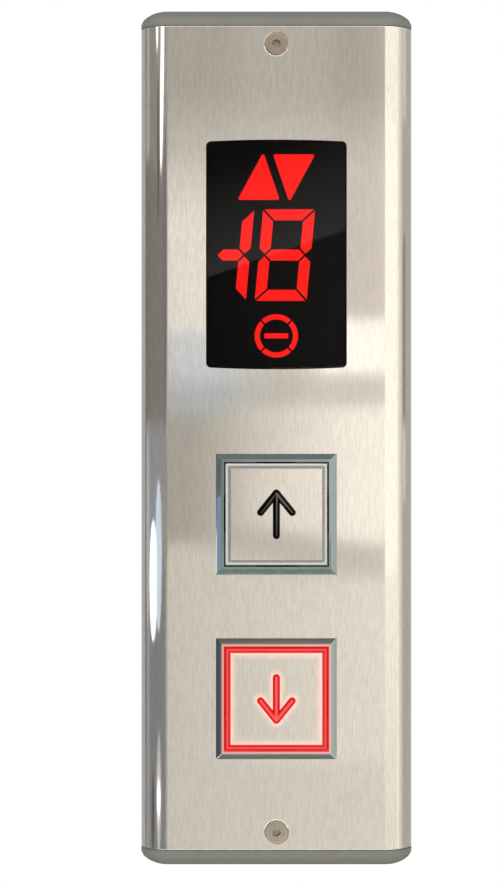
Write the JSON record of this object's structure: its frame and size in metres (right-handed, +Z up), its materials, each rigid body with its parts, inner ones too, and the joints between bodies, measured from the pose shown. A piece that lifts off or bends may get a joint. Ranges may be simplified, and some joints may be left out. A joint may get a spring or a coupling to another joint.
{
  "type": "elevator call button panel",
  "caption": "Slim wall-mounted landing call panel for a lift: bent stainless cover, moulded end caps, smoked floor display and square push buttons with lit rings.",
  "frame": {"origin": "centre of the wall plate's back face, on the wall", "axes": "+X to the right seen from the front, +Y into the wall, +Z up; the front face is at -Y"},
  "size_m": [0.086, 0.0217, 0.2684],
  "materials": {
    "stainless_cover": "vertical brush",
    "push_stainless": "vertical brush",
    "cap_grey": "fine moulded grain",
    "zinc_steel": "zinc plate",
    "screw_steel": "plain stainless",
    "rubber_black": "matte",
    "lens_smoke": "smoked acrylic, polished",
    "gasket_foam": "foam",
    "mask_black": "matte",
    "segment_red": "lit diffuser",
    "board_green": "solder mask",
    "led_body": "clear",
    "chip_black": "moulded",
    "can_aluminium": "plain",
    "terminal_green": "moulded",
    "connector_white": "moulded",
    "spacer_nylon": "moulded",
    "housing_black": "moulded",
    "bezel_chrome": "bright plate",
    "ring_clear": "frosted clear",
    "ring_red": "lit diffuser",
    "arrow_black": "polished",
    "arrow_red": "lit diffuser",
    "spring_steel": "drawn wire and strip",
    "plunger_red": "moulded",
    "lead_grey": "vinyl"
  },
  "bodies": {
    "panel": {"front_cover": "stainless_cover", "top_end_cap": "cap_grey", "bottom_end_cap": "cap_grey", "wall_plate": "zinc_steel", "cover_pillars": "zinc_steel", "cover_screws": "screw_steel", "cable_grommet": "rubber_black", "display_lens": "lens_smoke", "lens_gasket": "gasket_foam", "segment_mask": "mask_black", "up_triangle": "segment_red", "down_triangle": "segment_red", "tens_segments": "segment_red", "units_segments": "segment_red", "service_symbol": "segment_red", "display_board": "board_green", "display_leds": "led_body", "controller_chip": "chip_black", "driver_chips": "chip_black", "floor_sounder": "chip_black", "supply_capacitor": "can_aluminium", "terminal_block": "terminal_green", "board_headers": "connector_white", "weld_studs": "zinc_steel", "board_spacers": "spacer_nylon", "stud_nuts": "zinc_steel", "up_bezel": "bezel_chrome", "up_housing": "housing_black", "up_button_board": "board_green", "up_button_leds": "led_body", "up_board_screws": "zinc_steel", "up_header": "connector_white", "up_lead": "lead_grey", "up_lead_plugs": "connector_white", "up_switch_body": "housing_black", "up_springs": "spring_steel", "down_bezel": "bezel_chrome", "down_housing": "housing_black", "down_button_board": "board_green", "down_button_leds": "led_body", "down_board_screws": "zinc_steel", "down_header": "connector_white", "down_lead": "lead_grey", "down_lead_plugs": "connector_white", "down_switch_body": "housing_black", "down_springs": "spring_steel"},
    "up_button": {"up_push_plate": "push_stainless", "up_light_ring": "ring_clear", "up_arrow": "arrow_black"},
    "up_lever": {"up_switch_lever": "spring_steel"},
    "up_plunger": {"up_switch_plunger": "plunger_red"},
    "down_button": {"down_push_plate": "push_stainless", "down_light_ring": "ring_red", "down_arrow": "arrow_red"},
    "down_lever": {"down_switch_lever": "spring_steel"},
    "down_plunger": {"down_switch_plunger": "plunger_red"}
  },
  "joints": [
    {"name": "up_press", "type": "slide", "parent": "panel", "child": "up_button", "axis": [0, 1, 0], "range_m": [0, 0.0015], "stiffness_N_per_m": 500, "springref_m": -0.003, "deforming": ["up_springs"]},
    {"name": "up_lever_turn", "type": "hinge", "parent": "panel", "child": "up_lever", "pos_m": [0.0052, -0.0154, -0.024], "axis": [0, 0, -1], "range_deg": [0, 7.2]},
    {"name": "up_plunger_slide", "type": "slide", "parent": "panel", "child": "up_plunger", "axis": [0, 1, 0], "range_m": [0, 0.00053]},
    {"name": "down_press", "type": "slide", "parent": "panel", "child": "down_button", "axis": [0, 1, 0], "range_m": [0, 0.0015], "stiffness_N_per_m": 500, "springref_m": -0.003, "deforming": ["down_springs"]},
    {"name": "down_lever_turn", "type": "hinge", "parent": "panel", "child": "down_lever", "pos_m": [0.0052, -0.0154, -0.082], "axis": [0, 0, -1], "range_deg": [0, 7.2]},
    {"name": "down_plunger_slide", "type": "slide", "parent": "panel", "child": "down_plunger", "axis": [0, 1, 0], "range_m": [0, 0.00053]}
  ],
  "couplings": [
    {"joint": "up_lever_turn", "follows": "up_press", "rad_per_m": 83.333},
    {"joint": "up_plunger_slide", "follows": "up_press", "ratio": 0.35},
    {"joint": "down_lever_turn", "follows": "down_press", "rad_per_m": 83.333},
    {"joint": "down_plunger_slide", "follows": "down_press", "ratio": 0.35}
  ]
}
